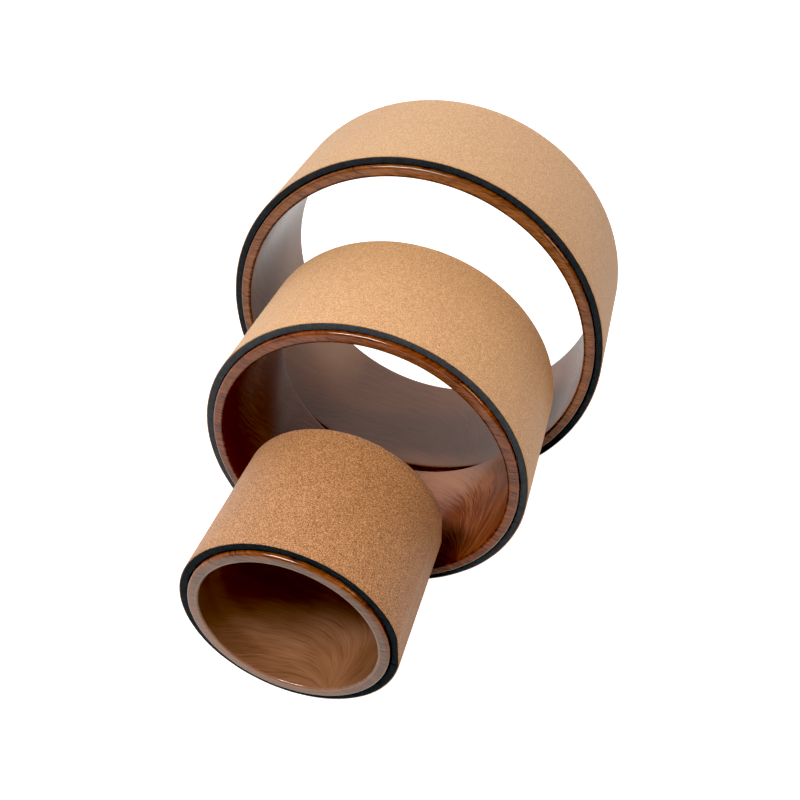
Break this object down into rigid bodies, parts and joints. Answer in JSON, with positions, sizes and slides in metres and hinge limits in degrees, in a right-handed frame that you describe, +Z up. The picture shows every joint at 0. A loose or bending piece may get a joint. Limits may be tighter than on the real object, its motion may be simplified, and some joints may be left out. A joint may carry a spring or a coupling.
{
  "type": "yoga wheel set",
  "caption": "Yoga wheels of graded size standing in a row: glossy wood-grain hoops with rounded lips, each wrapped in a black foam belt and a cork skin, for rolling and stretching the back.",
  "frame": {"origin": "on the floor, under the middle of the set's bounding box, which is under the large wheel's axis line", "axes": "+Z up, +Y along the wheels' axes from the small wheel in front to the large wheel at the back, +X to the right seen from the front"},
  "size_m": [0.33, 0.3876, 0.33],
  "materials": {
    "wood_grain_plastic": "gloss",
    "tape": "matte",
    "black_foam": "matte",
    "glue": "satin",
    "cork": "matte"
  },
  "bodies": {
    "large_wheel": {"large_core_ring": "wood_grain_plastic", "large_belt_tape": "tape", "large_foam_belt": "black_foam", "large_cork_glue": "glue", "large_cork_skin": "cork"},
    "medium_wheel": {"medium_core_ring": "wood_grain_plastic", "medium_belt_tape": "tape", "medium_foam_belt": "black_foam", "medium_cork_glue": "glue", "medium_cork_skin": "cork"},
    "small_wheel": {"small_core_ring": "wood_grain_plastic", "small_belt_tape": "tape", "small_foam_belt": "black_foam", "small_cork_glue": "glue", "small_cork_skin": "cork"}
  },
  "joints": [
    {"name": "medium_roll", "type": "hinge", "parent": "large_wheel", "child": "medium_wheel", "pos_m": [-0.002, -0.00255, 0.132], "axis": [0, 1, 0], "continuous": true},
    {"name": "small_roll", "type": "hinge", "parent": "large_wheel", "child": "small_wheel", "pos_m": [-0.0167, -0.13035, 0.0845], "axis": [0, 1, 0], "continuous": true}
  ]
}
